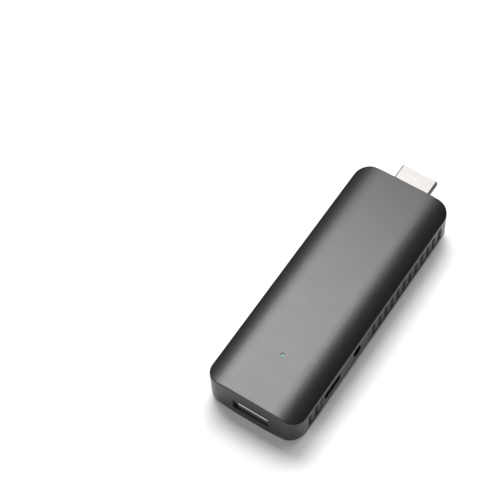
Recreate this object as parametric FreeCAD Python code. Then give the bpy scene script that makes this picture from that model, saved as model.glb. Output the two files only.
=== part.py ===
import FreeCAD, Part
import math
import os

# Streaming media stick, in millimetres. A deep upper housing and an arched bottom cover hold one circuit
# board. The board carries an HDMI plug at one end and a USB-A socket at the other. A power inlet and a
# reset switch are on its +X side.
# Frame: the origin is at the centre of the footprint, on the surface that the stick lies on.
# +X is the side with the power inlet, +Y runs towards the HDMI plug, +Z is up.
# Lengths called "from the USB end" are measured from the outer face of that end.

Vector = FreeCAD.Vector
os.makedirs("parts", exist_ok=True)

# Housing
BODY_WIDTH = 36.2
BODY_LENGTH = 98.8
BODY_HEIGHT = 16.0
PLUG_REACH = 9.3
CORNER_RADIUS = 5.5
CROWN_FLAT = 8.5
CROWN_DROP = 2.0
BELLY_FLAT = 4.0
BELLY_RISE = 3.6
WALL = 1.5
ROOF = 1.4
FLOOR = 1.4
TOP_EDGE_ROUND = 0.35
BOTTOM_EDGE_ROUND = 0.6
COVER_GAP = 0.12
FIT_GAP = 0.05
MARGIN = 2.0

HALF_WIDTH = BODY_WIDTH / 2
USB_END = -(BODY_LENGTH + PLUG_REACH) / 2
CROWN_SPAN = HALF_WIDTH - CROWN_FLAT
BELLY_SPAN = HALF_WIDTH - BELLY_FLAT
CROWN_RADIUS = (CROWN_SPAN**2 + CROWN_DROP**2) / (2 * CROWN_DROP)
BELLY_RADIUS = (BELLY_SPAN**2 + BELLY_RISE**2) / (2 * BELLY_RISE)

# Side windows with the vent grilles and the port panel
WINDOW_START = 6.9
WINDOW_END = 91.7
WINDOW_LOW = 4.8
WINDOW_HIGH = 12.2
WINDOW_RADIUS = 0.6
WINDOW_GAP = 0.2
PANEL_START = 14.4
PANEL_END = 44.95
GRILLE_RECESS = 0.15
VENT_PITCH = 3.93
VENT_FIRST = 7.9
VENT_COUNT = 22
VENT_LOW = 5.9
VENT_HIGH = 11.8
GROOVE_WIDTH = 1.5
GROOVE_DEPTH = 0.2
SLIT_WIDTH = 0.4
GRILLE_BACK = 16.1
FLANGE_BACK = 15.6
FLANGE_LOW = 4.45
FLANGE_HIGH = 12.65
FLANGE_OVERLAP = 0.8
PANEL_FRAME = 1.2
PANEL_LINE_INSET = 0.95
PANEL_LINE_WIDTH = 0.3
PANEL_LINE_DEPTH = 0.3

# Circuit board
BOARD_HALF_WIDTH = 15.4
BOARD_START = 2.0
BOARD_END = 93.0
BOARD_LOW = 7.2
BOARD_TOP = 8.2
BOARD_CHAMFER = 2.5
BOARD_NOTCH_HALF = 6.9
BOARD_NOTCH_END = 14.8
BUTTON_NOTCH_HALF = 2.6
BUTTON_NOTCH_INNER = 14.8

# Board screws, in the four corners
SCREW_PLACES = [(-11.3, 8.0), (11.3, 8.0), (-11.8, 88.0), (11.8, 88.0)]
BOSS_RADIUS = 2.1
PILOT_RADIUS = 0.7
PILOT_TOP = 12.8
SCREW_HEAD_RADIUS = 1.7
SCREW_HEAD_HEIGHT = 0.9
SCREW_SHANK_RADIUS = 0.65
SCREW_LENGTH = 4.2
SCREW_HOLE_RADIUS = 1.0
SCREW_CROSS = 1.7
SCREW_CROSS_WIDTH = 0.4
SCREW_CROSS_DEPTH = 0.45

# Bottom cover posts and snap bumps
POST_RADIUS = 1.3
POST_X = 12.6
POST_PLACES = [30.0, 66.0]
BUMP_PLACES = [21.0, 49.4, 77.8]
BUMP_WIDTH = 3.2
BUMP_ROOT = 0.4
BUMP_REACH = 0.35
BUMP_LOW = 3.5
BUMP_TOP = 4.1

# USB-A socket
USB_CENTRE_Z = 6.95
USB_OPENING_WIDTH = 13.8
USB_OPENING_HEIGHT = 4.9
USB_INNER_WIDTH = 12.5
USB_INNER_HEIGHT = 5.12
USB_SHEET = 0.3
USB_LIP_WIDTH = 14.5
USB_LIP_HEIGHT = 7.0
USB_MOUTH = 1.05
USB_REAR = 14.4
USB_TONGUE_FRONT = 1.3
USB_TONGUE_WIDTH = 11.6
USB_TONGUE_LOW = 5.06
USB_TONGUE_HIGH = 6.9
USB_TONGUE_ROUND = 0.45
USB_BLOCK_START = 10.8
USB_PIN_X = [-3.5, -1.0, 1.0, 3.5]
USB_PIN_WIDTH = 1.0
USB_PIN_THICK = 0.25

# HDMI plug
HDMI_WIDTH = 13.9
HDMI_HEIGHT = 4.45
HDMI_CENTRE_Z = 7.7
HDMI_SIDE_HEIGHT = 2.5
HDMI_SLOPE_WIDTH = 1.6
HDMI_ROUND = 0.5
HDMI_SHEET = 0.3
HDMI_REAR = 93.1
HDMI_TIP = BODY_LENGTH + PLUG_REACH
HDMI_BLOCK_END = 99.2
HDMI_INSULATOR_RECESS = 0.7
HDMI_SLOT_HALF_WIDTH = 5.6
HDMI_SLOT_HALF_HEIGHT = 0.95
HDMI_PIN_PITCH = 1.0
HDMI_PIN_WIDTH = 0.4
HDMI_PIN_THICK = 0.2
HDMI_TAIL_START = 91.0
HDMI_HOLE_GAP = 0.2

# Power inlet, a small five-pin USB socket
INLET_PLACE = 21.3
INLET_CENTRE_Z = 9.6
INLET_SLOT_LENGTH = 9.4
INLET_SLOT_HEIGHT = 3.4
INLET_SLOT_RADIUS = 1.0
INLET_WIDTH = 7.5
INLET_HEIGHT = 2.8
INLET_BEVEL = 0.9
INLET_SHEET = 0.25
INLET_MOUTH = 17.0
INLET_REAR = 11.9
INLET_BLOCK_FRONT = 13.0
INLET_TONGUE_TIP = 16.3
INLET_TONGUE_WIDTH = 3.7
INLET_TONGUE_LOW = 9.0
INLET_TONGUE_HIGH = 9.6
INLET_PIN_PITCH = 0.65
INLET_PIN_WIDTH = 0.3
INLET_PIN_THICK = 0.12
INLET_TAIL_END = 11.2

# Reset button and the side-acting switch behind it
RESET_PLACE = 36.65
RESET_Z = 9.8
RESET_HOLE_RADIUS = 2.3
RESET_CAP_RADIUS = 2.1
RESET_CAP_FACE = 16.6
RESET_FLANGE_RADIUS = 2.5
RESET_FLANGE_FRONT = 16.05
RESET_FLANGE_BACK = 15.5
SWITCH_BACK = 11.2
SWITCH_FRONT = 14.7
SWITCH_LENGTH = 6.0
SWITCH_HEIGHT = 3.2
SWITCH_SHEET = 0.2
PLUNGER_RADIUS = 0.95
PLUNGER_BORE_RADIUS = 1.0
PLUNGER_BACK = 13.9
PLUNGER_BORE_BACK = 13.2

# Status light
LIGHT_PLACE = 19.75
LIGHT_RADIUS = 0.7
LIGHT_HOLE_RADIUS = 0.75
LIGHT_FACE_DEPTH = 0.3
LIGHT_FLANGE_RADIUS = 1.5
LIGHT_FLANGE_THICK = 0.6
LIGHT_ROD_RADIUS = 1.1
LIGHT_ROD_END = 9.3
LED_SIZE = (1.6, 0.9, 0.6)

# Chips and modules on the top of the board: centre x, centre from the USB end, width, length, height
PROCESSOR = (0.0, 57.0, 13.0, 13.0, 1.2)
MEMORY_FIRST = (-5.6, 72.5, 8.0, 12.0, 1.0)
MEMORY_SECOND = (5.6, 72.5, 8.0, 12.0, 1.0)
POWER_CHIP = (8.3, 43.0, 5.0, 5.0, 0.9)
RADIO_BOARD = (-6.8, 31.0, 12.0, 12.0, 0.6)
RADIO_CHIP = (-6.8, 31.0, 5.0, 5.0, 0.7)
SYSTEM_CRYSTAL = (-11.0, 44.0, 3.2, 2.5, 0.8)
USB_SWITCH_CHIP = (-4.6, 20.0, 2.9, 1.6, 1.1)
INLET_DIODE = (9.6, 29.6, 2.6, 4.3, 2.1)
INDUCTOR_SIZE = (4.2, 4.2, 2.0)
INDUCTOR_PLACES = [(3.6, 26.5), (3.6, 32.0), (3.6, 37.5)]
BULK_CAPACITOR_SIZE = (3.5, 2.8, 1.9)
BULK_CAPACITOR_PLACES = [(7.4, 18.6), (7.4, 22.4)]
PROTECTION_SIZE = (2.5, 1.0, 0.5)
PROTECTION_PLACES = [(-3.4, 87.6), (0.0, 87.6), (3.4, 87.6)]
CAPACITOR_SIZE = (0.6, 1.0, 0.5)
RESISTOR_SIZE = (1.0, 0.5, 0.35)
RADIO_CAN_WALL = 0.2
RADIO_CAN_HEIGHT = 1.6
RADIO_CAN_MARGIN = 0.4

# Flash storage and a metal can over it, on the underside of the board
FLASH_CHIP = (-4.5, 48.0, 11.5, 13.0, 1.0)
LOWER_CAN = (0.0, 60.0, 22.0, 48.0, 2.8)
LOWER_CAN_WALL = 0.2

# Heat sink
SINK_HALF_WIDTH = 11.5
SINK_START = 49.0
SINK_END = 79.5
SINK_LOW = 10.0
SINK_BASE = 0.9
SINK_FIN_TOP = 13.4
SINK_FIN_THICK = 0.8
SINK_FIN_COUNT = 9
SINK_FIN_SPACING = 2.5

# Stamped aerials
AERIAL_SHEET = 0.3
AERIAL_TOP = 12.1
AERIAL_WIDTH = 2.3
AERIAL_LENGTH = 9.0
AERIAL_LEG = 1.0
AERIAL_OUTER = 14.9


# ---- helpers ----


def along(distance):
    """The Y coordinate at a distance from the USB end."""
    return USB_END + distance


def block(x_low, x_high, start, end, z_low, z_high):
    """A box; start and end are measured from the USB end."""
    corner = Vector(x_low, along(start), z_low)
    return Part.makeBox(x_high - x_low, end - start, z_high - z_low, corner)


def edges_along(shape, direction):
    """The straight edges of a shape that run along a direction."""
    found = []
    for edge in shape.Edges:
        span = edge.Vertexes[-1].Point - edge.Vertexes[0].Point
        if span.Length > 0 and span.cross(direction).Length < 1e-6 * span.Length:
            found.append(edge)
    return found


def rounded(shape, radius, direction):
    """The shape with its edges along a direction rounded."""
    return shape.makeFillet(radius, edges_along(shape, direction))


def rod_x(radius, x_low, x_high, distance, z):
    return Part.makeCylinder(radius, x_high - x_low, Vector(x_low, along(distance), z), Vector(1, 0, 0))


def rod_z(radius, x, distance, z_low, z_high):
    return Part.makeCylinder(radius, z_high - z_low, Vector(x, along(distance), z_low), Vector(0, 0, 1))


def extrude_profile(points, direction):
    """A prism over a closed polygon."""
    return Part.Face(Part.makePolygon(points + points[:1])).extrude(direction)


def mirrored(shape):
    """The same shape on the other side of the stick's middle plane."""
    return shape.mirror(Vector(0, 0, 0), Vector(1, 0, 0))


def save(node, *solids):
    """One solid, or a group of separate ones, written as a node."""
    shape = solids[0] if len(solids) == 1 else Part.makeCompound(list(solids))
    if not shape.isValid() or any(solid.Volume <= 0 for solid in shape.Solids):
        raise ValueError(node + " isn't a valid solid")
    shape.exportStep("parts/" + node + ".step")
    print(node, len(shape.Solids), round(shape.Volume, 2))


# ---- housing sections ----


def crown_height(x, inset):
    """Height of the arched top, or of a surface inset below it."""
    beyond = max(abs(x) - CROWN_FLAT, 0.0)
    return BODY_HEIGHT - CROWN_RADIUS + math.sqrt((CROWN_RADIUS - inset) ** 2 - beyond**2)


def belly_height(x, inset):
    """Height of the arched underside, or of a surface inset above it."""
    beyond = max(abs(x) - BELLY_FLAT, 0.0)
    return BELLY_RADIUS - math.sqrt((BELLY_RADIUS - inset) ** 2 - beyond**2)


def arched_edges(height, flat, inset):
    """Arc, straight and arc, from one side of the section to the other."""
    reach = HALF_WIDTH + 0.9

    def at(x):
        return Vector(x, 0, height(x, inset))

    middle = (reach + flat) / 2
    left = Part.Arc(at(-reach), at(-middle), at(-flat)).toShape()
    centre = Part.makeLine(at(-flat), at(flat))
    right = Part.Arc(at(flat), at(middle), at(reach)).toShape()
    return [left, centre, right]


def level_edges(z):
    reach = HALF_WIDTH + 0.9
    return [Part.makeLine(Vector(-reach, 0, z), Vector(reach, 0, z))]


def section_prism(upper, lower):
    """A prism along Y between two lines drawn across the section."""
    sides = []
    for end in (0, -1):
        top = upper[end].Vertexes[end].Point
        low = lower[end].Vertexes[end].Point
        sides.append(Part.makeLine(top, low))
    wire = Part.Wire(Part.__sortEdges__(upper + lower + sides))
    start = along(-MARGIN)
    face = Part.Face(wire)
    face.translate(Vector(0, start, 0))
    return face.extrude(Vector(0, BODY_LENGTH + 2 * MARGIN, 0))


def plan_prism(inset):
    """The rounded rectangle seen from above, as a tall prism."""
    side = HALF_WIDTH - inset
    tall = block(-side, side, inset, BODY_LENGTH - inset, -MARGIN, BODY_HEIGHT + MARGIN)
    return rounded(tall, CORNER_RADIUS - inset, Vector(0, 0, 1))


def rim_edges(shape, z_low, z_high):
    """The edges that run round the rim of the body between two heights."""
    found = []
    for edge in shape.Edges:
        bounds = edge.BoundBox
        inner_line = bounds.XLength < 1e-6 and abs(bounds.XMin) < HALF_WIDTH - 1e-3
        if bounds.ZMin > z_low and bounds.ZMax < z_high and not inner_line:
            found.append(edge)
    return found


def body_solid():
    """The outside of the whole housing, with its edges rounded."""
    crown = arched_edges(crown_height, CROWN_FLAT, 0)
    belly = arched_edges(belly_height, BELLY_FLAT, 0)
    body = plan_prism(0).common(section_prism(crown, belly))
    top_rim = rim_edges(body, BODY_HEIGHT - CROWN_DROP - 0.1, BODY_HEIGHT + 0.1)
    body = body.makeFillet(TOP_EDGE_ROUND, top_rim)
    return body.makeFillet(BOTTOM_EDGE_ROUND, rim_edges(body, -0.1, BELLY_RISE + 0.1))


def side_window():
    """The long window in the +X side wall."""
    window = block(
        HALF_WIDTH - WALL - 0.5, HALF_WIDTH + MARGIN, WINDOW_START, WINDOW_END, WINDOW_LOW, WINDOW_HIGH
    )
    return rounded(window, WINDOW_RADIUS, Vector(1, 0, 0))


def usb_opening():
    half = USB_OPENING_WIDTH / 2
    low = USB_CENTRE_Z - USB_OPENING_HEIGHT / 2
    hole = block(-half, half, -MARGIN, WALL + 0.5, low, low + USB_OPENING_HEIGHT)
    return rounded(hole, 0.5, Vector(0, 1, 0))


def usb_lip_pocket():
    """Room in the inner face of the end wall for the flared lip of the socket."""
    half = USB_LIP_WIDTH / 2 + 0.1
    low = USB_CENTRE_Z - USB_LIP_HEIGHT / 2 - 0.1
    return block(-half, half, USB_MOUTH - FIT_GAP, WALL + 0.5, low, low + USB_LIP_HEIGHT + 0.2)


def hdmi_prism(inset, start, end):
    """The plug's outline, wide side up, inset from its outside and drawn between two distances."""
    half = HDMI_WIDTH / 2
    top = HDMI_CENTRE_Z + HDMI_HEIGHT / 2
    low = HDMI_CENTRE_Z - HDMI_HEIGHT / 2
    knee = top - HDMI_SIDE_HEIGHT
    foot = half - HDMI_SLOPE_WIDTH
    outline = [(-half, top), (half, top), (half, knee), (foot, low), (-foot, low), (-half, knee)]
    points = [Vector(x, along(start), z) for x, z in outline]
    wire = Part.makePolygon(points + points[:1])
    if inset:
        wire = wire.makeOffset2D(-inset, 2)
    prism = Part.Face(wire).extrude(Vector(0, end - start, 0))
    return rounded(prism, HDMI_ROUND - inset if inset > 0 else HDMI_ROUND, Vector(0, 1, 0))


def bump_recess(distance):
    """Where a snap bump of the bottom cover catches in the +X wall."""
    inner = HALF_WIDTH - WALL
    half = BUMP_WIDTH / 2 + 0.2
    outer = inner + BUMP_REACH + FIT_GAP
    return block(inner - 0.1, outer, distance - half, distance + half, BUMP_LOW - FIT_GAP, BUMP_TOP)


def upper_housing():
    """Roof and four walls in one moulding, with the bosses for the board screws."""
    cavity = plan_prism(WALL).common(
        section_prism(arched_edges(crown_height, CROWN_FLAT, ROOF), level_edges(-1.0))
    )
    housing = body_solid().cut(cavity)
    bosses = [rod_z(BOSS_RADIUS, x, place, BOARD_TOP, BODY_HEIGHT - ROOF + 0.3) for x, place in SCREW_PLACES]
    housing = housing.fuse(bosses)
    pilots = [rod_z(PILOT_RADIUS, x, place, BOARD_TOP - 0.1, PILOT_TOP) for x, place in SCREW_PLACES]
    window = side_window()
    recesses = [bump_recess(place) for place in BUMP_PLACES]
    cuts = pilots + recesses + [mirrored(recess) for recess in recesses]
    cuts += [window, mirrored(window), usb_opening(), usb_lip_pocket()]
    cuts.append(hdmi_prism(-HDMI_HOLE_GAP, BODY_LENGTH - WALL - 0.5, BODY_LENGTH + MARGIN))
    cuts.append(rod_z(LIGHT_HOLE_RADIUS, 0, LIGHT_PLACE, BODY_HEIGHT - ROOF - 0.5, BODY_HEIGHT + 0.5))
    return housing.cut(cuts).removeSplitter()


def snap_bump(distance):
    """A bump on the +X edge of the bottom cover, flat below and sloping above."""
    outer = HALF_WIDTH - WALL - COVER_GAP
    start = along(distance - BUMP_WIDTH / 2)
    profile = [
        Vector(outer - BUMP_ROOT, start, BUMP_LOW),
        Vector(outer + BUMP_REACH, start, BUMP_LOW),
        Vector(outer, start, BUMP_TOP - FIT_GAP),
        Vector(outer - BUMP_ROOT, start, BUMP_TOP - FIT_GAP),
    ]
    return extrude_profile(profile, Vector(0, BUMP_WIDTH, 0))


def bottom_cover():
    """The arched plate that closes the underside, with posts under the board and six snap bumps."""
    plate = plan_prism(WALL + COVER_GAP).common(
        section_prism(
            arched_edges(belly_height, BELLY_FLAT, FLOOR), arched_edges(belly_height, BELLY_FLAT, 0)
        )
    )
    posts = []
    for place in POST_PLACES:
        post = rod_z(POST_RADIUS, POST_X, place, belly_height(POST_X, FLOOR) - 0.6, BOARD_LOW)
        posts += [post, mirrored(post)]
    bumps = [snap_bump(place) for place in BUMP_PLACES]
    bumps += [mirrored(bump) for bump in bumps]
    return plate.fuse(posts + bumps).removeSplitter()


# ---- side grilles and port panel ----


def vents(start, end, face):
    """Shallow grooves, each with a slit through the strip, whose middles lie between two distances."""
    cuts = []
    for index in range(VENT_COUNT):
        middle = VENT_FIRST + index * VENT_PITCH
        if start < middle < end:
            for half, depth in ((GROOVE_WIDTH / 2, face - GROOVE_DEPTH), (SLIT_WIDTH / 2, FLANGE_BACK - 0.5)):
                cuts.append(block(depth, HALF_WIDTH, middle - half, middle + half, VENT_LOW, VENT_HIGH))
    return cuts


def window_strip(start, end, face, start_flange, end_flange):
    """A strip that fills part of the +X window from inside, with a flange behind the wall."""
    inner_wall = HALF_WIDTH - WALL
    strip = block(GRILLE_BACK, face, start, end, WINDOW_LOW + WINDOW_GAP, WINDOW_HIGH - WINDOW_GAP)
    corners = []
    for edge in edges_along(strip, Vector(1, 0, 0)):
        distance = edge.BoundBox.YMin - USB_END
        gaps = [abs(distance - WINDOW_START), abs(distance - WINDOW_END)]
        if min(gaps) < FIT_GAP + 1e-3:
            corners.append(edge)
    if corners:
        strip = strip.makeFillet(WINDOW_RADIUS, corners)
    flange = block(
        FLANGE_BACK, inner_wall - FIT_GAP, start - start_flange, end + end_flange, FLANGE_LOW, FLANGE_HIGH
    )
    return strip.fuse(flange)


def grille(start, end, start_flange, end_flange):
    """A slightly recessed strip with a row of vents."""
    face = HALF_WIDTH - GRILLE_RECESS
    strip = window_strip(start, end, face, start_flange, end_flange)
    return strip.cut(vents(start, end, face)).removeSplitter()


def inlet_slot():
    start = INLET_PLACE - INLET_SLOT_LENGTH / 2
    end = INLET_PLACE + INLET_SLOT_LENGTH / 2
    low = INLET_CENTRE_Z - INLET_SLOT_HEIGHT / 2
    slot = block(FLANGE_BACK - 0.5, HALF_WIDTH + 0.5, start, end, low, low + INLET_SLOT_HEIGHT)
    return rounded(slot, INLET_SLOT_RADIUS, Vector(1, 0, 0))


def port_panel():
    """The flush panel with the power slot and the reset hole, and a fine line near each end."""
    panel = window_strip(PANEL_START, PANEL_END, HALF_WIDTH, 0, 0)
    start = PANEL_START + PANEL_FRAME
    end = PANEL_END - PANEL_FRAME
    pocket = block(FLANGE_BACK - 0.5, GRILLE_BACK, start, end, WINDOW_LOW + 0.4, WINDOW_HIGH + 0.15)
    cuts = [pocket, inlet_slot()]
    cuts.append(rod_x(RESET_HOLE_RADIUS, FLANGE_BACK, HALF_WIDTH + 0.5, RESET_PLACE, RESET_Z))
    for line in (PANEL_START + PANEL_LINE_INSET, PANEL_END - PANEL_LINE_INSET):
        half = PANEL_LINE_WIDTH / 2
        depth = HALF_WIDTH - PANEL_LINE_DEPTH
        cuts.append(block(depth, HALF_WIDTH + 0.5, line - half, line + half, WINDOW_LOW, WINDOW_HIGH))
    return panel.cut(cuts).removeSplitter()


# ---- board and what is soldered to it ----


def main_board():
    board = block(-BOARD_HALF_WIDTH, BOARD_HALF_WIDTH, BOARD_START, BOARD_END, BOARD_LOW, BOARD_TOP)
    board = board.makeChamfer(BOARD_CHAMFER, edges_along(board, Vector(0, 0, 1)))
    notch = block(
        -BOARD_NOTCH_HALF, BOARD_NOTCH_HALF, BOARD_START - 1, BOARD_NOTCH_END, BOARD_LOW - 1, BOARD_TOP + 1
    )
    button_notch = block(
        BUTTON_NOTCH_INNER,
        BOARD_HALF_WIDTH + 1,
        RESET_PLACE - BUTTON_NOTCH_HALF,
        RESET_PLACE + BUTTON_NOTCH_HALF,
        BOARD_LOW - 1,
        BOARD_TOP + 1,
    )
    holes = [
        rod_z(SCREW_HOLE_RADIUS, x, place, BOARD_LOW - 1, BOARD_TOP + 1) for x, place in SCREW_PLACES
    ]
    return board.cut([notch, button_notch] + holes)


def centred_block(x, distance, width, length, z_low, z_high):
    """A box given by its middle and its size seen from above."""
    start = distance - length / 2
    return block(x - width / 2, x + width / 2, start, start + length, z_low, z_high)


def on_board(x, distance, width, length, height, lift=0.0):
    """A box standing on the top of the board."""
    low = BOARD_TOP + lift
    return centred_block(x, distance, width, length, low, low + height)


def under_board(x, distance, width, length, height):
    """A box hanging under the board."""
    return centred_block(x, distance, width, length, BOARD_LOW - height, BOARD_LOW)


def board_screw(x, distance):
    """A pan-head screw with a cross recess, driven up through the board."""
    head_low = BOARD_LOW - SCREW_HEAD_HEIGHT
    head = rod_z(SCREW_HEAD_RADIUS, x, distance, head_low, BOARD_LOW)
    rim = [edge for edge in head.Edges if edge.BoundBox.ZMax < head_low + 1e-3]
    head = head.makeFillet(0.35, rim)
    shank = rod_z(SCREW_SHANK_RADIUS, x, distance, BOARD_LOW - 0.1, BOARD_LOW + SCREW_LENGTH)
    long_half = SCREW_CROSS / 2
    short_half = SCREW_CROSS_WIDTH / 2
    recess_top = head_low + SCREW_CROSS_DEPTH
    cross = [
        block(x - a, x + a, distance - b, distance + b, head_low - 0.1, recess_top)
        for a, b in ((long_half, short_half), (short_half, long_half))
    ]
    return head.fuse(shank).cut(cross).removeSplitter()


def inductor(x, distance):
    """A moulded power inductor with cut-back corners."""
    body = on_board(x, distance, *INDUCTOR_SIZE)
    return body.makeChamfer(0.6, edges_along(body, Vector(0, 0, 1)))


def small_capacitors():
    """Chip capacitors in rows beside the processor and the memory, and near the power chip."""
    places = []
    for index in range(8):
        for side in (-1, 1):
            places.append((side * 8.0, 51.4 + index * 1.6))
    for index in range(6):
        places.append((0.0, 67.6 + index * 2.0))
    for index in range(4):
        places.append((12.6, 41.8 + index * 1.6))
    return [on_board(x, distance, *CAPACITOR_SIZE) for x, distance in places]


def resistors():
    """Chip resistors in rows near the crystal, the radio module and the HDMI plug."""
    places = [(-6.0 + index * 1.5, 44.6) for index in range(6)]
    places += [(-6.0 + index * 1.5, 85.0) for index in range(9)]
    places += [(-11.4 + index * 1.6, 40.0) for index in range(7)]
    return [on_board(x, distance, *RESISTOR_SIZE) for x, distance in places]


def radio_can():
    """The thin metal can over the radio module."""
    x, distance, width, length, base = RADIO_BOARD
    outer_width = width - 2 * RADIO_CAN_MARGIN
    outer_length = length - 2 * RADIO_CAN_MARGIN
    can = on_board(x, distance, outer_width, outer_length, RADIO_CAN_HEIGHT, base)
    can = rounded(can, 0.5, Vector(0, 0, 1))
    inner_width = outer_width - 2 * RADIO_CAN_WALL
    inner_length = outer_length - 2 * RADIO_CAN_WALL
    hollow = on_board(x, distance, inner_width, inner_length, RADIO_CAN_HEIGHT - RADIO_CAN_WALL, base)
    return can.cut(hollow)


def lower_can():
    """The metal can over the flash chip, under the board."""
    x, distance, width, length, height = LOWER_CAN
    can = rounded(under_board(*LOWER_CAN), 0.6, Vector(0, 0, 1))
    inner_width = width - 2 * LOWER_CAN_WALL
    inner_length = length - 2 * LOWER_CAN_WALL
    return can.cut(under_board(x, distance, inner_width, inner_length, height - LOWER_CAN_WALL))


def thermal_pads():
    """Soft pads that fill the space between the chips and the heat sink."""
    pads = []
    for x, distance, width, length, height in (PROCESSOR, MEMORY_FIRST, MEMORY_SECOND):
        gap = SINK_LOW - BOARD_TOP - height
        pads.append(on_board(x, distance, width, length, gap, height))
    return pads


def heat_sink():
    """A finned plate over the processor and the memory."""
    base_top = SINK_LOW + SINK_BASE
    sink = block(-SINK_HALF_WIDTH, SINK_HALF_WIDTH, SINK_START, SINK_END, SINK_LOW, base_top)
    sink = rounded(sink, 1.0, Vector(0, 0, 1))
    fins = []
    first = -(SINK_FIN_COUNT - 1) / 2
    for index in range(SINK_FIN_COUNT):
        x = (first + index) * SINK_FIN_SPACING
        half = SINK_FIN_THICK / 2
        fins.append(block(x - half, x + half, SINK_START, SINK_END, base_top - 0.1, SINK_FIN_TOP))
    return sink.fuse(fins).removeSplitter()


def aerial(start):
    """A stamped aerial on the +X edge: a top plate on two legs."""
    inner = AERIAL_OUTER - AERIAL_WIDTH
    plate = block(inner, AERIAL_OUTER, start, start + AERIAL_LENGTH, AERIAL_TOP - AERIAL_SHEET, AERIAL_TOP)
    legs = []
    for offset in (0.0, 3.2):
        leg_start = start + offset
        legs.append(
            block(inner, inner + AERIAL_SHEET, leg_start, leg_start + AERIAL_LEG, BOARD_TOP, AERIAL_TOP)
        )
        legs.append(
            block(inner, inner + 1.2, leg_start, leg_start + AERIAL_LEG, BOARD_TOP, BOARD_TOP + AERIAL_SHEET)
        )
    return plate.fuse(legs).removeSplitter()


def status_led():
    return on_board(0, LIGHT_PLACE, *LED_SIZE)


def light_pipe():
    """The clear rod that brings the light up to the roof."""
    face = rod_z(LIGHT_RADIUS, 0, LIGHT_PLACE, BODY_HEIGHT - ROOF - 0.1, BODY_HEIGHT - LIGHT_FACE_DEPTH)
    under_roof = BODY_HEIGHT - ROOF
    flange = rod_z(LIGHT_FLANGE_RADIUS, 0, LIGHT_PLACE, under_roof - LIGHT_FLANGE_THICK, under_roof)
    rod = rod_z(LIGHT_ROD_RADIUS, 0, LIGHT_PLACE, LIGHT_ROD_END, under_roof - 0.1)
    return face.fuse([flange, rod]).removeSplitter()


# ---- USB-A socket ----


def usb_box(width, height, start, end):
    """A box centred on the socket's axis."""
    half = height / 2
    return block(-width / 2, width / 2, start, end, USB_CENTRE_Z - half, USB_CENTRE_Z + half)


def usb_shell():
    """The folded steel shell: tube, flared lip, spring leaves and the feet that are soldered to the board."""
    outer_width = USB_INNER_WIDTH + 2 * USB_SHEET
    outer_height = USB_INNER_HEIGHT + 2 * USB_SHEET
    tube = rounded(usb_box(outer_width, outer_height, USB_MOUTH, USB_REAR), 0.6, Vector(0, 1, 0))
    lip = rounded(
        usb_box(USB_LIP_WIDTH, USB_LIP_HEIGHT, USB_MOUTH, USB_MOUTH + USB_SHEET), 0.9, Vector(0, 1, 0)
    )
    feet = []
    for start in (5.4, 10.4):
        foot = block(
            outer_width / 2 - 0.1, outer_width / 2 + 1.6, start, start + 1.8, BOARD_TOP, BOARD_TOP + USB_SHEET
        )
        feet += [foot, mirrored(foot)]
    shell = tube.fuse([lip] + feet)
    shell = shell.cut(
        rounded(
            usb_box(USB_INNER_WIDTH, USB_INNER_HEIGHT, USB_MOUTH - 1, USB_REAR + 1), 0.3, Vector(0, 1, 0)
        )
    )
    slits = []
    for x in (-3.2, 3.2):
        window = block(x - 1.3, x + 1.3, 3.6, 9.0, USB_CENTRE_Z - 4, USB_CENTRE_Z + 4)
        leaf = block(x - 1.0, x + 1.0, 3.9, 9.1, USB_CENTRE_Z - 4.1, USB_CENTRE_Z + 4.1)
        slits.append(window.cut(leaf))
    return shell.cut(slits).removeSplitter()


def usb_pin(x):
    """A contact on the upper face of the tongue, bent up behind the block to the board."""
    top = USB_TONGUE_HIGH + 0.05
    low = top - USB_PIN_THICK
    rise = USB_REAR + 0.05
    tail = BOARD_TOP + USB_PIN_THICK
    outline = [
        (2.3, low),
        (2.3, top),
        (rise, top),
        (rise, tail),
        (rise + 2.0, tail),
        (rise + 2.0, BOARD_TOP),
        (rise + USB_PIN_THICK, BOARD_TOP),
        (rise + USB_PIN_THICK, low),
    ]
    points = [Vector(x - USB_PIN_WIDTH / 2, along(distance), z) for distance, z in outline]
    return extrude_profile(points, Vector(USB_PIN_WIDTH, 0, 0))


def usb_insulator(pins):
    """The white block and tongue that carry the four contacts."""
    rear = usb_box(USB_INNER_WIDTH - 0.1, USB_INNER_HEIGHT - 0.1, USB_BLOCK_START, USB_REAR)
    rear = rounded(rear, 0.3, Vector(0, 1, 0))
    half = USB_TONGUE_WIDTH / 2
    tongue = block(-half, half, USB_TONGUE_FRONT, USB_BLOCK_START + 0.1, USB_TONGUE_LOW, USB_TONGUE_HIGH)
    cross_edges = edges_along(tongue, Vector(1, 0, 0))
    front = [edge for edge in cross_edges if edge.BoundBox.YMax < along(USB_TONGUE_FRONT + 0.1)]
    tongue = tongue.makeFillet(USB_TONGUE_ROUND, front)
    return rear.fuse(tongue).cut(pins).removeSplitter()


# ---- HDMI plug ----


def hdmi_shell():
    """The folded steel shell of the plug, with a foot on each side of the board's edge."""
    shell = hdmi_prism(0, HDMI_REAR, HDMI_TIP)
    half = HDMI_WIDTH / 2
    foot = block(half - 0.25, half + 1.4, HDMI_REAR - 2.6, HDMI_REAR + 0.6, BOARD_TOP, BOARD_TOP + HDMI_SHEET)
    shell = shell.fuse([foot, mirrored(foot)])
    return shell.cut(hdmi_prism(HDMI_SHEET, HDMI_REAR - 0.5, HDMI_TIP + 0.5)).removeSplitter()


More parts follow.
